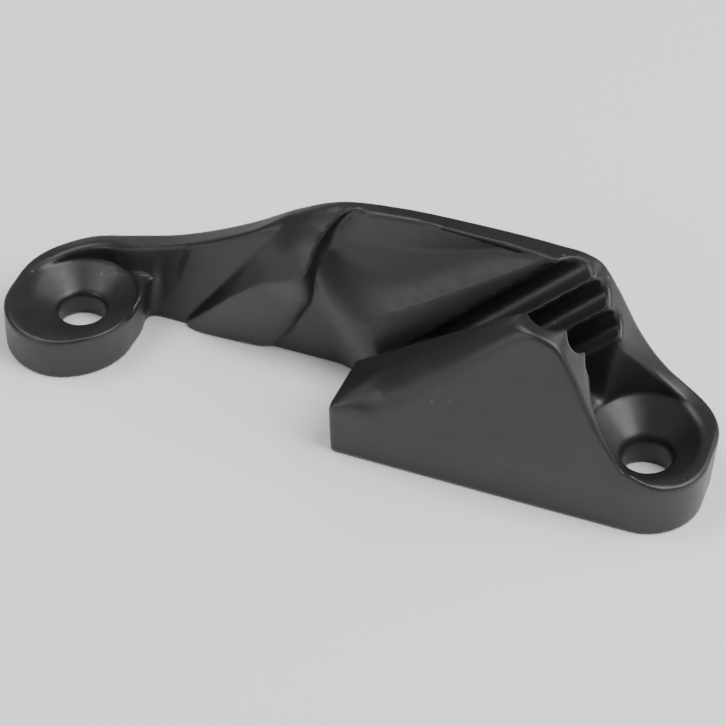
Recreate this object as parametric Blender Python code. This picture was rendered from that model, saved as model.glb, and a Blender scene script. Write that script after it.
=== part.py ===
"""Side-entry rope cleat: one moulding with two countersunk screw eyes, a fairlead horn and a ribbed V jaw.

Frame: +X runs from the fairlead eye to the jaw eye, +Y from the open front to the back wall, and +Z up
from the deck. The origin is the middle of the footprint, on the deck. Sizes are millimetres, times MM.
"""

import math

import bmesh
import bpy
from mathutils import Matrix, Vector

MM = 0.001

# Overall
WIDTH = 16.8
HEIGHT = 21.8

# Screw eyes
HOLE_PITCH = 66.0
HOLE_DIAMETER = 5.4
HOLE_SETBACK = 8.4  # front edge to the row of holes
FAIRLEAD_REACH = 7.7  # fairlead hole to the end of its eye
JAW_REACH = 7.5  # jaw hole to the end of its eye
FAIRLEAD_EYE_RADIUS = 7.1
FAIRLEAD_RIM_HEIGHT = 4.9
JAW_EYE_RADIUS = 6.0
JAW_RIM_HEIGHT = 6.6
DISH_LENGTH = 10.8
DISH_WIDTH = 13.0
DISH_OFFSET = 0.9  # how far the dish is centred in front of its hole
DISH_DEPTH = 2.0
DISH_FLARE = 0.3  # how much wider the dish's foot is than the hole

# Back wall and arm
WALL_THICKNESS = 3.2
ARM_FILLET = 1.5
ARM_RISE = 16.0  # fairlead hole to halfway up the arm
HUMP_REACH = 28.0  # fairlead hole to where the wall is nearly at its full height
HUMP_DROP = 1.6  # how much lower the wall is there

# Jaws
JAW_START = 33.0  # fairlead hole to the open end of the jaw
BASE_HEIGHT = 6.2
LEAD_ANGLE = 38.0
SHOULDER_REACH = 9.6  # jaw hole back to the top corner of the jaws
FRONT_LEAN = 1.7
CHANNEL_WIDTH = 9.3  # between the two jaws at the top
CHANNEL_OFFSET = 2.6  # back face to the channel's top edge
CHANNEL_HALF_ANGLE = 12.5
CHANNEL_FLOOR = 7.0

# Ribs
RIB_ANGLE = 42.0
RIB_PITCH = 3.5
RIB_DEPTH = 1.0
RIB_RADIUS = 1.7
GROOVES = 3
FIRST_GROOVE = 22.9  # from the jaw's open end to the first groove's top end

# Rope scoop in the back jaw
SCOOP_RADII = (10.0, 4.4, 7.6)
SCOOP_PLACE = (4.5, 16.6)  # along X from the jaw's open end, and above the deck

# Fairlead horn
HORN_START = 10.8  # fairlead hole to the horn's tip
HORN_LENGTH = 16.0
HORN_REACH = 2.9
HORN_FOOT_REACH = 0.5
HORN_HEIGHT = 12.4
HORN_ROOT_RISE = 6.5  # how far above its crest the horn's top runs into the wall

MARGIN = 2.0  # how far a cutter stands past the surface it cuts

front = -WIDTH / 2
back = WIDTH / 2
length = FAIRLEAD_REACH + HOLE_PITCH + JAW_REACH
fairlead_x = FAIRLEAD_REACH - length / 2
jaw_x = fairlead_x + HOLE_PITCH
hole_y = front + HOLE_SETBACK
jaw_start_x = fairlead_x + JAW_START
wall_y = back - WALL_THICKNESS
channel_y = back - CHANNEL_OFFSET - CHANNEL_WIDTH / 2
channel_slope = math.tan(math.radians(CHANNEL_HALF_ANGLE))


def clear_scene():
    for obj in list(bpy.data.objects):
        bpy.data.objects.remove(obj, do_unlink=True)


def new_collection(name):
    collection = bpy.data.collections.new(name)
    bpy.context.scene.collection.children.link(collection)
    return collection


def add_mesh(name, mesh, collection):
    obj = bpy.data.objects.new(name, mesh)
    collection.objects.link(obj)
    return obj


def arc(centre_x, centre_y, radius, start, end, steps=16):
    """Points along an arc, its angles in degrees."""
    angles = [math.radians(start + (end - start) * i / steps) for i in range(steps + 1)]
    return [(centre_x + radius * math.cos(a), centre_y + radius * math.sin(a)) for a in angles]


def prism(name, collection, points, low, high, upright=False, smooth=False):
    """A flat outline made thick. It lies in XY from low to high along Z, or upright in XZ along Y."""
    curve = bpy.data.curves.new(name, "CURVE")
    curve.dimensions = "2D"
    curve.fill_mode = "BOTH"
    curve.extrude = (high - low) / 2 * MM
    spline = curve.splines.new("BEZIER" if smooth else "POLY")
    spline.use_cyclic_u = True
    if smooth:
        spline.resolution_u = 8
        spline.bezier_points.add(len(points) - 1)
        for knot, (along, up, handle) in zip(spline.bezier_points, points):
            knot.co = (along * MM, up * MM, 0)
            knot.handle_left_type = knot.handle_right_type = handle
    else:
        spline.points.add(len(points) - 1)
        for knot, (along, up) in zip(spline.points, points):
            knot.co = (along * MM, up * MM, 0, 1)
    outline = add_mesh(name + "_outline", curve, collection)
    middle = (low + high) / 2 * MM
    if upright:
        outline.matrix_world = Matrix.Translation((0, middle, 0)) @ Matrix.Rotation(math.pi / 2, 4, "X")
    else:
        outline.matrix_world = Matrix.Translation((0, 0, middle))
    bpy.context.view_layer.update()
    solid = outline.evaluated_get(bpy.context.evaluated_depsgraph_get())
    mesh = bpy.data.meshes.new_from_object(solid)
    mesh.transform(outline.matrix_world)
    bpy.data.objects.remove(outline, do_unlink=True)
    welded = bmesh.new()
    welded.from_mesh(mesh)
    bmesh.ops.remove_doubles(welded, verts=welded.verts, dist=1e-7)
    bmesh.ops.recalc_face_normals(welded, faces=welded.faces)
    welded.to_mesh(mesh)
    welded.free()
    mesh.name = name
    return add_mesh(name, mesh, collection)


def cone(name, collection, matrix, foot_radius, top_radius, depth, segments=64):
    """A cone, or a cylinder where both radii agree, centred on the matrix and along its Z."""
    shape = bmesh.new()
    bmesh.ops.create_cone(
        shape,
        cap_ends=True,
        segments=segments,
        radius1=foot_radius * MM,
        radius2=top_radius * MM,
        depth=depth * MM,
        matrix=matrix,
    )
    mesh = bpy.data.meshes.new(name)
    shape.to_mesh(mesh)
    shape.free()
    return add_mesh(name, mesh, collection)


def place(x, y, z):
    return Matrix.Translation(Vector((x, y, z)) * MM)


def footprint_outline():
    """The plan: fairlead eye, arm along the back, and the jaw block with its round end."""
    eye_x = FAIRLEAD_EYE_RADIUS - length / 2
    front_y = front + FAIRLEAD_EYE_RADIUS
    back_y = back - FAIRLEAD_EYE_RADIUS
    neck_x = eye_x + FAIRLEAD_EYE_RADIUS
    end_x = length / 2 - JAW_EYE_RADIUS
    points = arc(eye_x, back_y, FAIRLEAD_EYE_RADIUS, 90, 180)
    points += arc(eye_x, front_y, FAIRLEAD_EYE_RADIUS, 180, 360, steps=32)
    points += arc(neck_x + ARM_FILLET, wall_y - ARM_FILLET, ARM_FILLET, 180, 90, steps=8)
    points += [(jaw_start_x, wall_y), (jaw_start_x, front)]
    points += arc(end_x, front + JAW_EYE_RADIUS, JAW_EYE_RADIUS, -90, 0)
    points += arc(end_x, back - JAW_EYE_RADIUS, JAW_EYE_RADIUS, 0, 90)
    return points


def side_outline():
    """The side view, drawn with smooth knots: eye, rising arm, level jaws, steep exit, jaw eye."""
    rim = FAIRLEAD_RIM_HEIGHT
    rise = HEIGHT - rim
    hump_x = fairlead_x + HUMP_REACH
    shoulder_x = jaw_x - SHOULDER_REACH
    end = length / 2 + MARGIN
    exit_drop = HEIGHT - JAW_RIM_HEIGHT
    return [
        (-end, -MARGIN, "VECTOR"),
        (-end, rim, "VECTOR"),
        (fairlead_x - 4.0, rim + 0.2, "AUTO"),
        (fairlead_x + 1.0, rim + 0.13 * rise, "AUTO"),
        (fairlead_x + ARM_RISE / 2, rim + 0.28 * rise, "AUTO"),
        (fairlead_x + ARM_RISE, rim + 0.50 * rise, "AUTO"),
        ((fairlead_x + ARM_RISE + hump_x) / 2 + 1.0, rim + 0.76 * rise, "AUTO"),
        (hump_x, HEIGHT - HUMP_DROP, "AUTO"),
        (hump_x + 10.0, HEIGHT - 0.1, "AUTO"),
        (shoulder_x - 8.0, HEIGHT, "AUTO"),
        (shoulder_x - 1.0, HEIGHT - 0.4, "AUTO"),
        (shoulder_x + 1.3, HEIGHT - 0.13 * exit_drop, "AUTO"),
        (shoulder_x + 4.1, HEIGHT - 0.48 * exit_drop, "AUTO"),
        (shoulder_x + 7.4, HEIGHT - 0.80 * exit_drop, "AUTO"),
        (shoulder_x + 11.0, HEIGHT - 0.97 * exit_drop, "AUTO"),
        (shoulder_x + 14.5, JAW_RIM_HEIGHT, "AUTO"),
        (end, JAW_RIM_HEIGHT, "VECTOR"),
        (end, -MARGIN, "VECTOR"),
    ]


def lead_in_cutter(collection):
    """Clears the way in over the front jaw, down to a ramp that climbs from the base to the jaw's top."""
    slope = math.tan(math.radians(LEAD_ANGLE))
    run = (HEIGHT + MARGIN - BASE_HEIGHT) / slope
    points = [
        (jaw_start_x - MARGIN, BASE_HEIGHT),
        (jaw_start_x, BASE_HEIGHT),
        (jaw_start_x + run, HEIGHT + MARGIN),
        (jaw_start_x - MARGIN, HEIGHT + MARGIN),
    ]
    foot_y = channel_y + CHANNEL_WIDTH / 2 - (HEIGHT - BASE_HEIGHT) * channel_slope
    return prism("lead_in_cutter", collection, points, front - MARGIN, foot_y, upright=True)


def front_lean_cutter(collection):
    """A wedge off the front jaw's outer face, which leans back above the base."""
    lean = FRONT_LEAN / (HEIGHT - BASE_HEIGHT)
    cutter = prism("front_lean_cutter", collection, [(0, 0), (1, 0), (1, 1), (0, 1)], 0, 1)
    left, right = jaw_start_x - MARGIN, length / 2 + MARGIN
    top = HEIGHT + MARGIN
    section = [
        (front - MARGIN, BASE_HEIGHT),
        (front, BASE_HEIGHT),
        (front + (top - BASE_HEIGHT) * lean, top),
        (front - MARGIN, top),
    ]
    return loft(cutter, [[(x, y, z) for y, z in section] for x in (left, right)])


def channel_cutter(collection):
    """The V between the jaws, open at both ends."""
    left, right = jaw_start_x, jaw_x
    top = HEIGHT + MARGIN
    half_top = CHANNEL_WIDTH / 2 + MARGIN * channel_slope
    half_floor = CHANNEL_WIDTH / 2 - (HEIGHT - CHANNEL_FLOOR) * channel_slope
    section = [
        (channel_y - half_floor, CHANNEL_FLOOR),
        (channel_y + half_floor, CHANNEL_FLOOR),
        (channel_y + half_top, top),
        (channel_y - half_top, top),
    ]
    cutter = add_mesh("channel_cutter", bpy.data.meshes.new("channel_cutter"), collection)
    return loft(cutter, [[(x, y, z) for y, z in section] for x in (left, right)])


def loft(obj, rings):
    """Skins rings of equal length, in order, and caps both ends. The rings are points in millimetres."""
    skin = bmesh.new()
    loops = [[skin.verts.new(Vector(point) * MM) for point in ring] for ring in rings]
    count = len(loops[0])
    for lower, upper in zip(loops, loops[1:]):
        for i in range(count):
            j = (i + 1) % count
            skin.faces.new((lower[i], lower[j], upper[j], upper[i]))
    skin.faces.new(loops[0])
    skin.faces.new(reversed(loops[-1]))
    bmesh.ops.recalc_face_normals(skin, faces=skin.faces)
    mesh = bpy.data.meshes.new(obj.name)
    skin.to_mesh(mesh)
    skin.free()
    obj.data = mesh
    return obj


def groove_cutters(collection):
    """Round grooves across both jaw faces. They climb towards the exit and lie along each leaning face."""
    rise = math.radians(RIB_ANGLE)
    step = RIB_PITCH / math.sin(rise)
    cutters = []
    for side, name in ((-1, "front"), (1, "back")):
        run = Vector((math.cos(rise), side * channel_slope * math.sin(rise), math.sin(rise))).normalized()
        outward = Vector((0, side, -channel_slope)).normalized()
        for i in range(GROOVES):
            x = jaw_start_x + FIRST_GROOVE + i * step
            top = Vector((x, channel_y + side * CHANNEL_WIDTH / 2, HEIGHT))
            length = (HEIGHT - CHANNEL_FLOOR) / math.sin(rise)
            centre = top - run * (length / 2 - MARGIN) - outward * (RIB_RADIUS - RIB_DEPTH)
            turn = run.to_track_quat("Z", "Y").to_matrix().to_4x4()
            matrix = Matrix.Translation(centre * MM) @ turn
            cutters.append(
                cone(f"{name}_groove_{i + 1}", collection, matrix, RIB_RADIUS, RIB_RADIUS, length + MARGIN, 24)
            )
    return cutters


def scoop_cutter(collection):
    """The round hollow in the back jaw that lets the rope in from the side."""
    shape = bmesh.new()
    x, z = SCOOP_PLACE
    stretch = Matrix.Diagonal(Vector(SCOOP_RADII) * MM).to_4x4()
    matrix = place(jaw_start_x + x, channel_y, z) @ stretch
    bmesh.ops.create_uvsphere(shape, u_segments=48, v_segments=24, radius=1.0, matrix=matrix)
    mesh = bpy.data.meshes.new("scoop_cutter")
    shape.to_mesh(mesh)
    shape.free()
    return add_mesh("scoop_cutter", mesh, collection)


def dish_cutter(name, collection, hole_x, rim_height):
    """The oval countersink round a hole: a cone whose wide end is drawn out to DISH_LENGTH by DISH_WIDTH."""
    foot = HOLE_DIAMETER / 2 + DISH_FLARE
    floor = rim_height - DISH_DEPTH
    top = rim_height + MARGIN
    grow = 1 + MARGIN / DISH_DEPTH
    wide = [
        (
            foot + (DISH_LENGTH / 2 - foot) * grow,
            foot + (DISH_WIDTH / 2 - foot) * grow,
            -DISH_OFFSET * grow,
        ),
        (foot, foot, 0.0),
    ]
    rings = []
    for (half_length, half_width, offset), z in zip(wide, (top, floor)):
        ring = arc(0, 0, 1.0, 0, 360, steps=64)[:-1]
        rings.append([(hole_x + half_length * u, hole_y + offset + half_width * v, z) for u, v in ring])
    cutter = add_mesh(name, bpy.data.meshes.new(name), collection)
    return loft(cutter, rings)


def hole_cutter(name, collection, hole_x):
    radius = HOLE_DIAMETER / 2
    return cone(name, collection, place(hole_x, hole_y, HEIGHT / 4), radius, radius, HEIGHT, 48)


def horn(collection):
    """The fairlead horn: a bow that swells from its foot to a rising crest, then runs back into the wall."""
    start = fairlead_x + HORN_START
    root = wall_y + WALL_THICKNESS / 2
    foot, crest, top, inner_foot, inner_top = [], [], [], [], []
    steps = 12
    for i in range(steps + 1):
        t = i / steps
        x = start + HORN_LENGTH * t
        climb = HORN_HEIGHT * math.sin(math.pi / 2 * min(1.0, 1.35 * t))
        swell = math.sin(math.pi / 2 * min(1.0, 1.6 * t)) * math.sqrt(max(0.0, 1 - max(0.0, t - 0.7) ** 2 / 0.12))
        foot_x = start - 1.5 + (HORN_LENGTH - 5.0) * t
        foot.append((foot_x, wall_y - HORN_FOOT_REACH * math.sin(math.pi * t) + 0.05, 0.3))
        crest.append((x, wall_y - HORN_REACH * swell + 0.05, max(0.8, climb)))
        top.append((x - 1.5 * (1 - t), wall_y + 0.4, max(1.4, climb + HORN_ROOT_RISE * min(1.0, 1.5 * t))))
        inner_top.append((x, root, top[-1][2]))
        inner_foot.append((foot_x, root, 0.3))
    rings = [list(ring) for ring in zip(foot, crest, top, inner_top, inner_foot)]
    solid = add_mesh("horn_form", bpy.data.meshes.new("horn_form"), collection)
    return loft(solid, rings)


def black_nylon():
    """Glass-filled black nylon, satin from the mould."""
    material = bpy.data.materials.new("black_nylon")
    material.use_nodes = True
    shader = material.node_tree.nodes["Principled BSDF"]
    shader.inputs["Base Color"].default_value = (0.035, 0.035, 0.034, 1)
    shader.inputs["Roughness"].default_value = 0.45
    shader.inputs["Metallic"].default_value = 0.0
    return material


def combine(body, operation, tool):
    modifier = body.modifiers.new(f"{operation.lower()}_{tool.name}", "BOOLEAN")
    modifier.operation = operation
    modifier.object = tool
    tool.hide_render = True
    tool.display_type = "WIRE"


def build_cleat():
    parts = new_collection("side_entry_cleat")
    cutters = new_collection("cutters")
    body = prism("cleat_body", parts, footprint_outline(), 0, HEIGHT)
    side_view = prism(
        "side_view", cutters, side_outline(), front - MARGIN, back + MARGIN, upright=True, smooth=True
    )
    combine(body, "UNION", horn(cutters))
    combine(body, "INTERSECT", side_view)
    combine(body, "DIFFERENCE", lead_in_cutter(cutters))
    combine(body, "DIFFERENCE", front_lean_cutter(cutters))
    combine(body, "DIFFERENCE", channel_cutter(cutters))
    for groove in groove_cutters(cutters):
        combine(body, "DIFFERENCE", groove)
    combine(body, "DIFFERENCE", scoop_cutter(cutters))
    for name, hole_x, rim_height in (
        ("fairlead", fairlead_x, FAIRLEAD_RIM_HEIGHT),
        ("jaw", jaw_x, JAW_RIM_HEIGHT),
    ):
        combine(body, "DIFFERENCE", dish_cutter(f"{name}_dish_cutter", cutters, hole_x, rim_height))
        combine(body, "DIFFERENCE", hole_cutter(f"{name}_hole_cutter", cutters, hole_x))
    body.data.materials.append(black_nylon())


clear_scene()
build_cleat()
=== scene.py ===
"""Looks for a side-entry rope cleat: one fine moulding that stands for the plain solid, on a pale floor.

The moulding's own frame: x runs along the cleat from midway between its screw holes, y runs back from the
open front edge, z runs up from the deck, all in millimetres. SEAT moves it onto the frame's origin.
"""

import math

import bpy
import numpy as np
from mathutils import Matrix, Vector


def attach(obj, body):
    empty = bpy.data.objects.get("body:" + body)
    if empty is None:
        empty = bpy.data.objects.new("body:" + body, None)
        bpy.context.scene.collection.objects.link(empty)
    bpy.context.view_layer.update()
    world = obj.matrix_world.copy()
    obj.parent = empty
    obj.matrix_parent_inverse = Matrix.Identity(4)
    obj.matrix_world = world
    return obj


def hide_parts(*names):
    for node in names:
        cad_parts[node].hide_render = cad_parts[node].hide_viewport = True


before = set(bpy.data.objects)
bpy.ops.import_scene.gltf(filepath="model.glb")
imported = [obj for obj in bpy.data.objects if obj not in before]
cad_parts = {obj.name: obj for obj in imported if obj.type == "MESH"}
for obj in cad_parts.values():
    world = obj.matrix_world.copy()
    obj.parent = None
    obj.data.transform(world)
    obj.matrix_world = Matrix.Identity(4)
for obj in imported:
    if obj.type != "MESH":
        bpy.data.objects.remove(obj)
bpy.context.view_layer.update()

MM = 0.001

# Overall sizes of the moulding
DEPTH = 16.8
HEIGHT = 21.8
EYE_X, EYE_RADIUS = -33.6, 7.5  # the fairlead eye's outline
JAW_END, JAW_END_CORNER = 40.1, 6.6  # x of the jaw eye's end on its middle line, and its corners' radius
HOLE_X = 33.0
HOLE_Y = DEPTH / 2
HOLE_RADIUS = 2.7
SEAT = np.array([0.1, -DEPTH / 2, 0.0])  # the holes' middle is 0.1 mm from the middle of the CAD box
PARTING = 5.8  # height of the line where the two halves of the mould met
PARTING_STEP = 0.03
DRAFT = math.tan(math.radians(3.5))

# Rope channel, scoop and grooves
ARM_FACE = 13.55  # y of the arm's flat front, at the deck
BACK_JAW = 13.9  # y of the back jaw's face, at the top
THINNEST_WALL = 2.1  # behind the scoop
FRONT_JAW = 5.0  # y of the front jaw's inner face, at the top
BASE_FRONT = 1.5  # y at which the block under the channel starts
SCOOP_DEPTH, SCOOP_RADIUS = 1.9, 6.9
SCOOP_X, SCOOP_Z = 0.5, 15.0  # centre of the scoop's round end
RAMP_ANGLE = math.radians(38.3)
GROOVES = 3
GROOVE_START, GROOVE_PITCH = -0.9, 3.5
GROOVE_DEPTH, GROOVE_HALF_WIDTH = 1.35, 1.62

TOP_SPARE = 0.1  # how far the top stands above its profile
LEANING = 0.9  # the distance to a leaning face, as a share of the distance to it along y

GRID = 0.31  # spacing of the grid on which the surface is found


def colour(code):
    """A linear RGBA colour from an sRGB hex string."""
    parts = [int(code[i : i + 2], 16) / 255 for i in (1, 3, 5)]
    linear = [p / 12.92 if p <= 0.04045 else ((p + 0.055) / 1.055) ** 2.4 for p in parts]
    return (*linear, 1.0)


# ---- Measures of distance -------------------------------------------------------------------------------
# Every form below is a distance in millimetres: negative inside the plastic and positive outside it.


def both(a, b, radius):
    """What lies in a and in b, its outer edge rounded.

    It is the larger of the two distances or, near the edge, the distance from a line one radius inside
    both faces, less that radius.
    """
    corner = np.hypot(np.maximum(a + radius, 0), np.maximum(b + radius, 0))
    return np.minimum(np.maximum(a, b), -radius) + corner


def either(a, b, radius):
    """a and b joined, the inner corner filled with a round fillet: the mirror image of both()."""
    return -both(-a, -b, radius)


def without(a, b, radius):
    """a with b cut out of it, the cut's edge rounded."""
    return both(a, -b, radius)


def step(low, high, value):
    """0 below low, 1 above high, and the cubic 3t squared minus 2t cubed between them."""
    t = np.clip((value - low) / (high - low), 0, 1)
    return t * t * (3 - 2 * t)


def through(x, knots):
    """A smooth curve through a few knots: a cubic between each two.

    The curve's slope at a knot is the mean of the straight slopes on its two sides.
    """
    at, value = np.array(knots, float).T
    slope = np.diff(value) / np.diff(at)
    lean = np.concatenate([slope[:1], (slope[1:] + slope[:-1]) / 2, slope[-1:]])
    x = np.clip(x, at[0], at[-1])
    i = np.clip(np.searchsorted(at, x, side="right") - 1, 0, len(at) - 2)
    span = at[i + 1] - at[i]
    t = (x - at[i]) / span
    rise = (3 - 2 * t) * t * t
    return (
        value[i]
        + (value[i + 1] - value[i]) * rise
        + span * t * (1 - t) * ((1 - t) * lean[i] - t * lean[i + 1])
    )


def rounded_box(x, y, low_x, high_x, low_y, high_y, radius):
    """Plan distance to a rectangle with round corners: the distance to its core, less the radius."""
    u = np.abs(x - (low_x + high_x) / 2) - (high_x - low_x) / 2 + radius
    v = np.abs(y - (low_y + high_y) / 2) - (high_y - low_y) / 2 + radius
    return np.minimum(np.maximum(u, v), 0) + np.hypot(np.maximum(u, 0), np.maximum(v, 0)) - radius


# ---- The cleat's forms ----------------------------------------------------------------------------------

# Height of the top along the back wall, and along the fairlead eye's front rim
BACK_PROFILE = [
    (-42.0, 5.2),
    (-38.5, 5.7),
    (-35.0, 6.7),
    (-29.6, 8.3),
    (-24.6, 9.9),
    (-19.7, 12.1),
    (-14.8, 14.8),
    (-10.0, 17.9),
    (-5.3, 20.2),
    (1.6, 21.4),
    (10.0, 21.8),
    (19.6, 21.75),
    (23.0, 21.45),
    (24.6, 20.6),
    (26.4, 17.8),
    (28.9, 13.1),
    (31.3, 9.9),
    (34.0, 7.6),
    (36.5, 6.7),
    (42.0, 6.4),
]
RIM_PROFILE = [(-42.0, 4.9), (-34.0, 4.8), (-29.5, 5.4), (-25.0, 5.8), (-20.0, 6.0)]

# The horn's under-face at a few heights: x of its two edges, and how far it stands out
HORN_RIGHT = [(0, -12.4), (2.5, -10.3), (5.7, -8.6), (8.7, -7.1), (12, -6.5), (20, -6.1)]
HORN_LEFT = [(0, -22.8), (5.7, -20.6), (12, -17.0), (20, -15.0)]
HORN_REACH = [(0, 0.9), (5.7, 1.9), (12, 3.0), (20, 4.2)]

# Height of the rope channel's floor along the cleat
CHANNEL_FLOOR = [
    (-2, 3.7),
    (3, 4.6),
    (9, 6.4),
    (14, 7.0),
    (25.5, 7.5),
    (31, 6.9),
    (34, 8.5),
    (40, 9.0),
]


def top_height(x, y):
    """Height of the top: the back wall's profile, stepping down to the lower rim of the fairlead eye.

    The step is gentle round the eye's outer end and sharp where the arm's web begins.
    """
    back = through(x, BACK_PROFILE)
    rim = through(x, RIM_PROFILE)
    start = 6.0 + 7.4 * step(-38, -31, x)
    share = np.maximum(step(start, 14.3, y), step(-24.5, -22.0, x))
    return rim + (back - rim) * share


def below_top(x, y, z):
    """Distance to the top surface: the height above it, shortened by the slope there."""
    near = 0.05
    slope_x = (top_height(x + near, y) - top_height(x - near, y)) / (2 * near)
    slope_y = (top_height(x, y + near) - top_height(x, y - near)) / (2 * near)
    return (z - top_height(x, y)) / np.sqrt(1 + slope_x**2 + slope_y**2)


def lean_in(z):
    """How far the sides stand in from the parting line, from the mould's draft below it."""
    return np.maximum(PARTING - z, 0) * DRAFT


def eye_plan(x, y, z):
    """The fairlead eye's plan: a stadium, the distance from a 2.2 mm line that runs back, less the radius.

    Only the side towards the arm is drawn in below the parting line.
    """
    u = x - EYE_X
    v = y - np.clip(y, 7.1, 9.3)
    return np.hypot(u, v) - EYE_RADIUS + lean_in(z) * 1.6 * step(0, 7, u)


def horn_reach(x, z):
    """How far the horn stands out from the arm: the lesser of an under-face and a shelf, their crest rounded.

    The under-face is the root of one less a fourth power across, and stands further out with height. The
    shelf is a plane that falls back as it rises. It grows out of the arm as an exponential from a line
    climbing at 54 degrees. Within 3.6 mm of the top the face rolls back with a square law.
    """
    right = through(z, HORN_RIGHT)
    left = through(z, HORN_LEFT)
    across = np.clip((2 * x - left - right) / (right - left), -1, 1)
    reach = through(z, HORN_REACH) * (1 - 0.2 * across)
    under = reach * (np.sqrt(1.01 - across**4) - 0.1)
    near = np.maximum((1.39 * x + 32.0 - z) / 1.712, 0)
    shelf = np.maximum(2.9 - 0.47 * (z - 12.0), 0) * (1 - np.exp(-near / 2.2))
    roll = 0.13 * np.maximum(z - through(x, BACK_PROFILE) + 3.6, 0) ** 2
    return np.maximum(either(under, shelf, 0.4), 0) - roll * step(-15, -10, x) * step(-1, -5, x)


def jaw_face(x, z):
    """Where the back jaw's face stands: it comes forward at 12 degrees going down, and the scoop cuts back.

    The scoop stops where it would leave the wall thinner than THINNEST_WALL.
    """
    return np.minimum(BACK_JAW - 0.21 * (HEIGHT - z) + scoop_depth(x, z), DEPTH - THINNEST_WALL)


def scoop_depth(x, z):
    """Depth of the rope scoop in the back jaw: an exponential away from each of its two edges.

    One edge is a line that climbs at 34 degrees, and is soft. The other is a half circle round the end next
    to the arm, crisp at the top and softer lower down.
    """
    above = np.maximum(z - 8.97 - 0.667 * x, 0) * 0.832
    within = np.maximum(SCOOP_RADIUS - np.hypot(np.minimum(x - SCOOP_X, 0), z - SCOOP_Z), 0)
    softness = 0.5 + 2.6 * step(16, 10, z)
    return SCOOP_DEPTH * (1 - np.exp(-above / 2.6)) * (1 - np.exp(-within / softness))


def wall_face(x, z):
    """Where the front of the arm and wall stands: flat along the arm, less the horn, then the jaw's face.

    The change from one to the other is a soft slope along a line that leans back towards the arm. The rope
    grooves begin where the jaw block does.
    """
    flat = ARM_FACE + 0.03 * z
    edge = 0.5 - 0.73 * (z - 6.5)
    turn = step(edge - 10.0, edge + 1.0, x)
    return flat - horn_reach(x, z) + (jaw_face(x, z) - flat) * turn + groove_depth(x, z)


def wall(x, y, z):
    """The arm and the back wall in one: a slab along the back, as far as the round end of the jaw eye."""
    front = LEANING * (wall_face(x, z) - y)
    return both(both(front, end_plan(x, y, z), 0.5), EYE_X - x, 0.5)


def end_plan(x, y, z):
    """The jaw end's plan: a rectangle with rounded corners, drawn in towards the deck, most at the end.

    Its other end lies far past the fairlead eye, so that only this one counts. The end is turned slightly,
    by moving x in proportion to y.
    """
    draft = lean_in(z)
    share = step(22, 36, x)
    front, back = 0.3 * draft * share, DEPTH - draft * (0.3 + 0.2 * share)
    along = x + 0.06 * (y - HOLE_Y) * share
    return rounded_box(along, y, -80.0, JAW_END - 1.3 * draft, front, back, JAW_END_CORNER)


def block_plan(x, y, z):
    """The jaw block's plan: the jaw end's, cut square at the open end."""
    return both(end_plan(x, y, z), 0.5 * lean_in(z) - x, 0.6)


def base(x, y, z):
    """The block under the rope's channel, up to the channel's floor.

    The floor climbs from the entry, and passes above the top at the jaw eye. The block stops short of the
    front, inside the front jaw, so the front is one face.
    """
    channel = through(x, CHANNEL_FLOOR)
    return both(both(block_plan(x, y, z), z - channel, 0.4), BASE_FRONT - y, 0.2)


def front_lean(z):
    """How far the front face stands back above the parting line: a small step, then a lean of 6 degrees."""
    return PARTING_STEP * step(PARTING - 0.15, PARTING + 0.15, z) + 0.108 * np.maximum(z - PARTING, 0)


def front_jaw(x, y, z):
    """The front jaw: the block under a 38 degree ramp, between a front that leans back and the V's face.

    The edge of the ramp and the front is rolled most near x 6. The V's face leans out at 12 degrees and
    carries the same rope grooves as the back jaw.
    """
    ramp = (z - 6.3 - 0.79 * x) * math.cos(RAMP_ANGLE)
    roll = 1.0 + 3.2 * step(0, 6, x) - 2.2 * step(6, 20, x)
    fin = both(front_lean(z) - y, ramp, roll)
    inner = LEANING * (y - FRONT_JAW - 0.205 * (HEIGHT - z) + groove_depth(x, z))
    return both(both(block_plan(x, y, z), fin, 0.4), inner, 0.4)


def groove_depth(x, z):
    """Depth of the rope grooves: troughs that climb at 42 degrees, evenly spaced.

    Each is the full depth, less the 2.4th power of the place across it. They die out at the channel's floor
    and at the open end of the block.
    """
    across = 0.669 * x - 0.743 * z
    depth = np.zeros(np.shape(across))
    for i in range(GROOVES):
        centre = GROOVE_START + GROOVE_PITCH * i
        trough = GROOVE_DEPTH - np.abs((across - centre) / GROOVE_HALF_WIDTH) ** 2.4 * GROOVE_DEPTH
        depth = np.maximum(depth, trough)
    return depth * step(7.2, 8.6, z) * step(0, 3, x)


def dish(x, y, z, hole_x, foot, rim, flare):
    """An oval countersink: a cone, wider along y, from the hole to a little above the rim, then upright.

    It is the ratio of the place to the oval at that height, less one, times the oval's half width and
    0.65, which takes the cone's slope into account.
    """
    rise = np.clip((z - foot) / (rim - foot), -0.4, 1.1)
    half_x = HOLE_RADIUS + flare * rise
    half_y = 2.9 + 3.7 * rise
    across = np.hypot((x - hole_x) / half_x, (y - HOLE_Y + 0.7 * rise) / half_y)
    return (across - 1) * half_x * 0.65


def hole(x, y, hole_x):
    """A round screw hole: the distance from its axis, less its radius."""
    return np.hypot(x - hole_x, y - HOLE_Y) - HOLE_RADIUS


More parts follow.
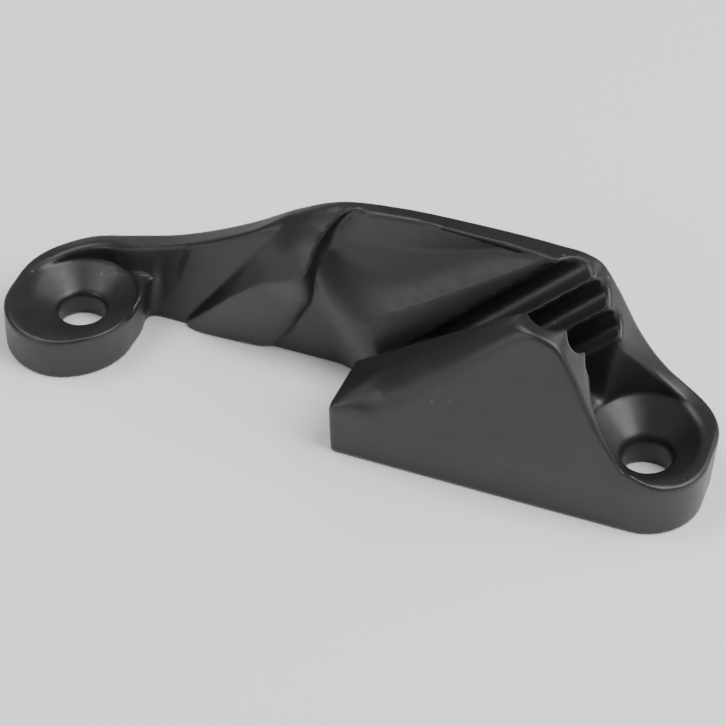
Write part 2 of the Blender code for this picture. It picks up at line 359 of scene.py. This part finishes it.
def moulding(x, y, z):
    """The whole cleat: its pieces joined with fillets, trimmed under the top profile, then hollowed.

    The fillets die out towards the outer sides, where the pieces share one face, and towards the block's
    open end.
    """
    body = either(eye_plan(x, y, z), wall(x, y, z), 2.0 * step(0.2, 2.5, DEPTH - y))
    fillet = 0.8 * step(0.2, 2.0, -end_plan(x, y, z)) * step(0.3, 4.0, x)
    body = either(body, base(x, y, z), fillet)
    body = either(body, front_jaw(x, y, z), fillet)
    body = both(body, below_top(x, y, z) - TOP_SPARE, 0.5)
    body = both(body, -z, 0.15)
    body = without(body, dish(x, y, z, HOLE_X, foot=3.6, rim=6.6, flare=3.3), 0.5)
    body = without(body, dish(x, y, z, -HOLE_X, foot=3.0, rim=4.9, flare=3.4), 0.6)
    body = without(body, hole(x, y, -HOLE_X), 0.4)
    return without(body, hole(x, y, HOLE_X), 0.4)


# ---- From distance to mesh ------------------------------------------------------------------------------


def gradient(form, points, reach=0.02):
    """The form's slope at each point, from the difference between two points either side along each axis."""
    slopes = []
    for axis in np.eye(3) * reach:
        slopes.append((form(*(points + axis).T) - form(*(points - axis).T)) / (2 * reach))
    return np.stack(slopes, axis=1)


def skin(form, low, high, spacing):
    """The surface where a form is zero, as points and four-sided faces.

    Each grid cell that the surface crosses gets one point, the mean of the crossings on its edges, moved
    four times along the slope towards where the form is zero, and one spacing at most along each axis.
    Each grid edge that crosses the surface gets one face. The form is positive all round the grid's edge.
    """
    axes = [np.arange(a, b, spacing) for a, b in zip(low, high)]
    grid = np.stack(np.meshgrid(*axes, indexing="ij"), axis=-1)
    value = form(grid[..., 0], grid[..., 1], grid[..., 2])
    inside = value < 0
    cells = tuple(n - 1 for n in value.shape)
    total = np.zeros((*cells, 3))
    count = np.zeros(cells)
    for axis in range(3):
        ahead = np.roll(value, -1, axis)
        crossing = inside != np.roll(inside, -1, axis)
        share = np.where(crossing, value / np.where(crossing, value - ahead, 1), 0)
        place = grid + share[..., None] * np.eye(3)[axis] * spacing
        others = [a for a in range(3) if a != axis]
        for i in (0, 1):
            for j in (0, 1):
                start = [0, 0, 0]
                start[others[0]], start[others[1]] = i, j
                window = tuple(slice(s, s + n) for s, n in zip(start, cells))
                total += np.where(crossing[window][..., None], place[window], 0)
                count += crossing[window]
    used = count > 0
    points = total[used] / count[used][:, None]
    number = np.full(cells, -1)
    number[used] = np.arange(len(points))
    first = points
    for _ in range(4):
        slope = gradient(form, points)
        steepness = np.maximum((slope**2).sum(axis=1), 0.05)
        move = -(form(*points.T) / steepness)[:, None] * slope
        points = points + np.clip(move, -spacing / 2, spacing / 2)
    points = first + np.clip(points - first, -spacing, spacing)
    faces = []
    for axis in range(3):
        u, v = (axis + 1) % 3, (axis + 2) % 3
        inner = [slice(1, n) for n in cells]
        inner[axis] = slice(0, cells[axis])
        near = inside[tuple(inner)]
        shifted = list(inner)
        shifted[axis] = slice(1, cells[axis] + 1)
        far = inside[tuple(shifted)]
        where = np.argwhere(near != far) + [0 if a == axis else 1 for a in range(3)]
        outward = near[near != far]
        step_u, step_v = np.eye(3, dtype=int)[u], np.eye(3, dtype=int)[v]
        ring = [where, where - step_u, where - step_u - step_v, where - step_v]
        quad = np.stack([number[tuple(corner.T)] for corner in ring], axis=1)
        quad[~outward] = quad[~outward][:, ::-1]
        faces.append(quad)
    return points, np.concatenate(faces)


def put(name, points, faces):
    """A smooth mesh object from arrays of points, in metres, and four-sided faces."""
    mesh = bpy.data.meshes.new(name)
    mesh.vertices.add(len(points))
    mesh.vertices.foreach_set("co", points.astype(np.float32).ravel())
    mesh.loops.add(faces.size)
    mesh.loops.foreach_set("vertex_index", faces.astype(np.int32).ravel())
    mesh.polygons.add(len(faces))
    mesh.polygons.foreach_set("loop_start", np.arange(0, faces.size, 4, dtype=np.int32))
    mesh.update(calc_edges=True)
    mesh.validate()
    mesh.polygons.foreach_set("use_smooth", np.ones(len(mesh.polygons), bool))
    obj = bpy.data.objects.new(name, mesh)
    bpy.context.scene.collection.objects.link(obj)
    return obj


# ---- Material -------------------------------------------------------------------------------------------


def node(tree, kind, settings=None, **links):
    """Adds a node, sets its properties, and gives each named input a value or another node's output.

    An input called i and a number is the one at that place.
    """
    made = tree.nodes.new(kind)
    for key, value in (settings or {}).items():
        setattr(made, key, value)
    for key, value in links.items():
        socket = made.inputs[int(key[1:])] if key[0] == "i" and key[1:].isdigit() else made.inputs[key]
        if isinstance(value, bpy.types.NodeSocket):
            tree.links.new(value, socket)
        else:
            socket.default_value = value
    return made


def satin_black_nylon():
    """Glass-filled black nylon, injection moulded: a dull satin skin, faintly mottled, with a few specks of
    painted glint.
    """
    material = bpy.data.materials.new("moulded_black_nylon")
    material.use_nodes = True
    tree = material.node_tree
    shader = tree.nodes["Principled BSDF"]
    shader.inputs["IOR"].default_value = 1.53
    place = node(tree, "ShaderNodeTexCoord").outputs["Object"]

    # Flow marks of the melt, 6 mm across, a shade lighter than the rest
    flow = node(tree, "ShaderNodeTexNoise", Vector=place, Scale=1 / (6 * MM), Detail=4.0, Roughness=0.6)
    mottle = node(tree, "ShaderNodeMapRange", i0=flow.outputs["Fac"], i1=0.35, i2=0.7, i3=0.0, i4=1.0)
    body = node(tree, "ShaderNodeMix", {"data_type": "RGBA"}, i0=mottle.outputs[0])
    body.inputs[6].default_value = colour("#1d1d1b")
    body.inputs[7].default_value = colour("#252522")

    # Pale specks painted on for the small glints of the grainy skin, a third of a millimetre across and a few
    # millimetres apart
    cells = node(tree, "ShaderNodeTexVoronoi", Vector=place, Scale=1 / (2.6 * MM))
    speck = node(tree, "ShaderNodeMapRange", i0=cells.outputs["Distance"], i1=0.05, i2=0.09, i3=1.0, i4=0.0)
    rare = node(tree, "ShaderNodeMath", {"operation": "GREATER_THAN"}, i0=cells.outputs["Color"], i1=0.62)
    glint_speck = node(tree, "ShaderNodeMath", {"operation": "MULTIPLY"}, i0=speck.outputs[0], i1=rare.outputs[0])
    glint_speck = node(tree, "ShaderNodeMath", {"operation": "MULTIPLY"}, i0=glint_speck.outputs[0], i1=0.35)
    glint_mix = node(tree, "ShaderNodeMix", {"data_type": "RGBA"}, i0=glint_speck.outputs[0])
    tree.links.new(body.outputs[2], glint_mix.inputs[6])
    # the pale grey of the painted glints
    glint_mix.inputs[7].default_value = colour("#6f6c62")
    tree.links.new(glint_mix.outputs[2], shader.inputs["Base Color"])

    # Satin from the mould's fine texture, glossier and duller in patches a millimetre across
    grain = node(tree, "ShaderNodeTexNoise", Vector=place, Scale=1 / (1.1 * MM), Detail=5.0, Roughness=0.65)
    gloss = node(tree, "ShaderNodeMapRange", i0=grain.outputs["Fac"], i1=0.3, i2=0.7, i3=0.33, i4=0.43)
    tree.links.new(gloss.outputs[0], shader.inputs["Roughness"])
    skin_bump = node(tree, "ShaderNodeBump", Strength=0.12, Distance=0.05 * MM, Height=grain.outputs["Fac"])
    tree.links.new(skin_bump.outputs[0], shader.inputs["Normal"])
    return material


def pale_floor():
    """White sweep paper: matt, so it takes a soft shadow and shows no reflection."""
    material = bpy.data.materials.new("white_sweep_paper")
    material.use_nodes = True
    shader = material.node_tree.nodes["Principled BSDF"]
    shader.inputs["Base Color"].default_value = colour("#fafafa")
    shader.inputs["Roughness"].default_value = 0.9
    return material


# ---- The object -----------------------------------------------------------------------------------------

points, faces = skin(moulding, (-42.0, -1.2, -1.2), (42.0, 18.0, 23.0), GRID)
cleat = put("cleat_moulding", (points + SEAT) * MM, faces)
cleat.data.materials.append(satin_black_nylon())
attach(cleat, "root")
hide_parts("cleat_body")

# ---- Floor, light and camera ----------------------------------------------------------------------------

FLOOR_HALF = 3.0
FLOOR_HEIGHT = -0.1 * MM  # just under the cleat's seat
floor_corners = [(-1, -1, 0), (1, -1, 0), (1, 1, 0), (-1, 1, 0)]
floor_points = np.array(floor_corners) * FLOOR_HALF + [0, 0, FLOOR_HEIGHT]
floor = put("floor", floor_points, np.array([[0, 1, 2, 3]]))
floor.data.materials.append(pale_floor())


def soft_light(name, place, aim, size, power):
    """A rectangular soft box at place, facing aim, its size in metres and its power in watts."""
    data = bpy.data.lights.new(name, "AREA")
    data.shape = "RECTANGLE"
    data.size, data.size_y = size
    data.energy = power
    lamp = bpy.data.objects.new(name, data)
    lamp.location = place
    lamp.rotation_euler = (Vector(aim) - Vector(place)).to_track_quat("-Z", "Y").to_euler()
    bpy.context.scene.collection.objects.link(lamp)


CENTRE = (0, 0, 0.01)
soft_light("key_right", (0.385, 0.0, 0.46), CENTRE, (0.34, 0.62), 4.2)
soft_light("back_right", (0.334, 0.334, 0.37), CENTRE, (0.34, 0.34), 0.9)
soft_light("high_left", (-0.263, 0.0, 0.54), CENTRE, (0.34, 0.34), 1.6)
soft_light("front_fill", (-0.18, -0.43, 0.37), CENTRE, (0.5, 0.34), 0.2)
soft_light("low_back_left", (-0.415, 0.415, 0.125), CENTRE, (0.22, 0.22), 0.1)
soft_light("front_left", (-0.38, -0.42, 0.21), CENTRE, (0.3, 0.26), 0.6)

world = bpy.data.worlds.new("studio")
world.use_nodes = True
background = world.node_tree.nodes["Background"]
background.inputs["Color"].default_value = (1, 1, 1, 1)
background.inputs["Strength"].default_value = 0.16
bpy.context.scene.world = world

CAMERA_AIM = Vector((-1.69, 6.26, 0.0)) * MM
CAMERA_AZIMUTH, CAMERA_ELEVATION, CAMERA_DISTANCE = 22.0, 41.0, 344.0
CAMERA_SENSOR, CAMERA_LENS = 36.0, 154.2
camera_data = bpy.data.cameras.new("camera")
camera_data.sensor_width = CAMERA_SENSOR
camera_data.lens = CAMERA_LENS
camera_data.clip_start = 0.01
camera = bpy.data.objects.new("camera", camera_data)
turn, tilt = math.radians(CAMERA_AZIMUTH), math.radians(CAMERA_ELEVATION)
away = Vector((math.sin(turn) * math.cos(tilt), -math.cos(turn) * math.cos(tilt), math.sin(tilt)))
camera.location = CAMERA_AIM + away * CAMERA_DISTANCE * MM
camera.rotation_euler = (math.pi / 2 - tilt, 0, turn)
bpy.context.scene.collection.objects.link(camera)
bpy.context.scene.camera = camera
